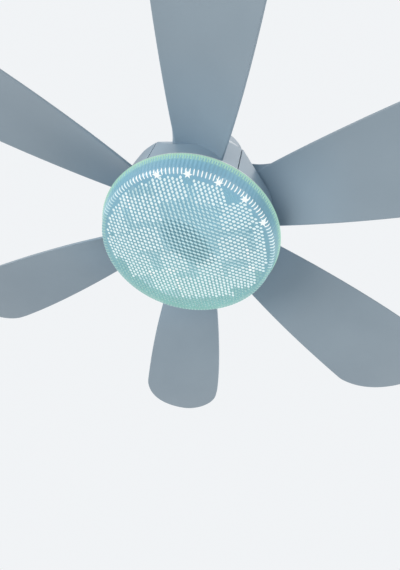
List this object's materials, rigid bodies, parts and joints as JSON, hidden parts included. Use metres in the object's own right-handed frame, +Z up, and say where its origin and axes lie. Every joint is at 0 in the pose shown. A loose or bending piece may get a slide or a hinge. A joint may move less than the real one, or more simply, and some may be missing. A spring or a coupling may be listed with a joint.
{
  "type": "socket fan light",
  "caption": "Small ceiling fan with a round clear-lensed lamp below its hub and pitched blades, held and powered by its own lamp-socket screw base.",
  "frame": {"origin": "on the fan's axis, at the shoulder of the neck that meets the lampholder's mouth", "axes": "+Z up along the screw base's axis, out of the contact; the lamp hangs at -Z and faces down"},
  "size_m": [0.4978, 0.554, 0.1936],
  "materials": {
    "clear_diffuser": "clear prismatic plastic",
    "pan_metal": "white enamel",
    "board_white": "white solder mask",
    "led_phosphor": "lit phosphor",
    "zinc_steel": "zinc plated",
    "plug_plastic": "moulded",
    "bearing_steel": "ground steel",
    "cage_nylon": "dark nylon",
    "core_steel": "laminated electrical steel",
    "cap_plastic": "insulating plastic",
    "winding_copper": "enamelled copper",
    "cast_aluminium": "die cast",
    "ferrite": "sintered ferrite",
    "housing_plastic": "smooth moulded",
    "neck_plastic": "smooth moulded",
    "board_green": "green solder mask",
    "capacitor_sleeve": "shrink sleeve",
    "transformer_tape": "yellow tape",
    "chip_black": "moulded epoxy",
    "plated_brass": "nickel plated",
    "insulator_dark": "black glassy",
    "lead_white": "wire insulation",
    "lead_red": "wire insulation",
    "lead_grey": "cable sheath",
    "blade_plastic": "smooth moulded"
  },
  "bodies": {
    "fixed_frame": {"lens_cover": "clear_diffuser", "lamp_pan": "pan_metal", "led_board": "board_white", "led_chips": "led_phosphor", "led_board_screws": "zinc_steel", "led_board_plug": "plug_plastic", "shaft": "zinc_steel", "bottom_washer": "zinc_steel", "bottom_nut": "zinc_steel", "top_nut": "zinc_steel", "bottom_spacer": "zinc_steel", "top_spacer": "zinc_steel", "top_washer": "zinc_steel", "mounting_plate": "zinc_steel", "lower_bearing_inner_race": "bearing_steel", "upper_bearing_inner_race": "bearing_steel", "stator_core": "core_steel", "stator_end_caps": "cap_plastic", "stator_coils": "winding_copper", "upper_housing": "housing_plastic", "housing_screws": "zinc_steel", "neck": "neck_plastic", "neck_screws": "zinc_steel", "driver_board": "board_green", "board_standoffs": "cap_plastic", "board_screws": "zinc_steel", "driver_capacitor": "capacitor_sleeve", "driver_transformer": "transformer_tape", "driver_choke": "winding_copper", "driver_heatsink": "cast_aluminium", "driver_chips": "chip_black", "board_plugs": "plug_plastic", "screw_shell": "plated_brass", "base_insulator": "insulator_dark", "centre_contact": "plated_brass", "mains_leads": "lead_white", "lamp_leads": "lead_red", "motor_cable": "lead_grey"},
    "rotor": {"rotor_lower_cover": "cast_aluminium", "rotor_upper_cover": "cast_aluminium", "rotor_screws": "zinc_steel", "rotor_back_iron": "zinc_steel", "rotor_magnets": "ferrite", "lower_bearing_outer_race": "bearing_steel", "upper_bearing_outer_race": "bearing_steel", "lower_bearing_shields": "bearing_steel", "upper_bearing_shields": "bearing_steel", "blade_screws": "zinc_steel", "blade_1": "blade_plastic", "blade_2": "blade_plastic", "blade_3": "blade_plastic", "blade_4": "blade_plastic", "blade_5": "blade_plastic", "blade_6": "blade_plastic"},
    "lower_cage": {"lower_bearing_balls": "bearing_steel", "lower_bearing_cage": "cage_nylon"},
    "upper_cage": {"upper_bearing_balls": "bearing_steel", "upper_bearing_cage": "cage_nylon"}
  },
  "joints": [
    {"name": "rotor_spin", "type": "hinge", "parent": "fixed_frame", "child": "rotor", "pos_m": [0, 0, -0.1295], "axis": [0, 0, 1], "continuous": true},
    {"name": "lower_cage_spin", "type": "hinge", "parent": "fixed_frame", "child": "lower_cage", "pos_m": [0, 0, -0.1305], "axis": [0, 0, 1], "continuous": true},
    {"name": "upper_cage_spin", "type": "hinge", "parent": "fixed_frame", "child": "upper_cage", "pos_m": [0, 0, -0.1055], "axis": [0, 0, 1], "continuous": true}
  ],
  "couplings": [
    {"joint": "lower_cage_spin", "follows": "rotor_spin", "ratio": 0.5921},
    {"joint": "upper_cage_spin", "follows": "rotor_spin", "ratio": 0.5921}
  ]
}
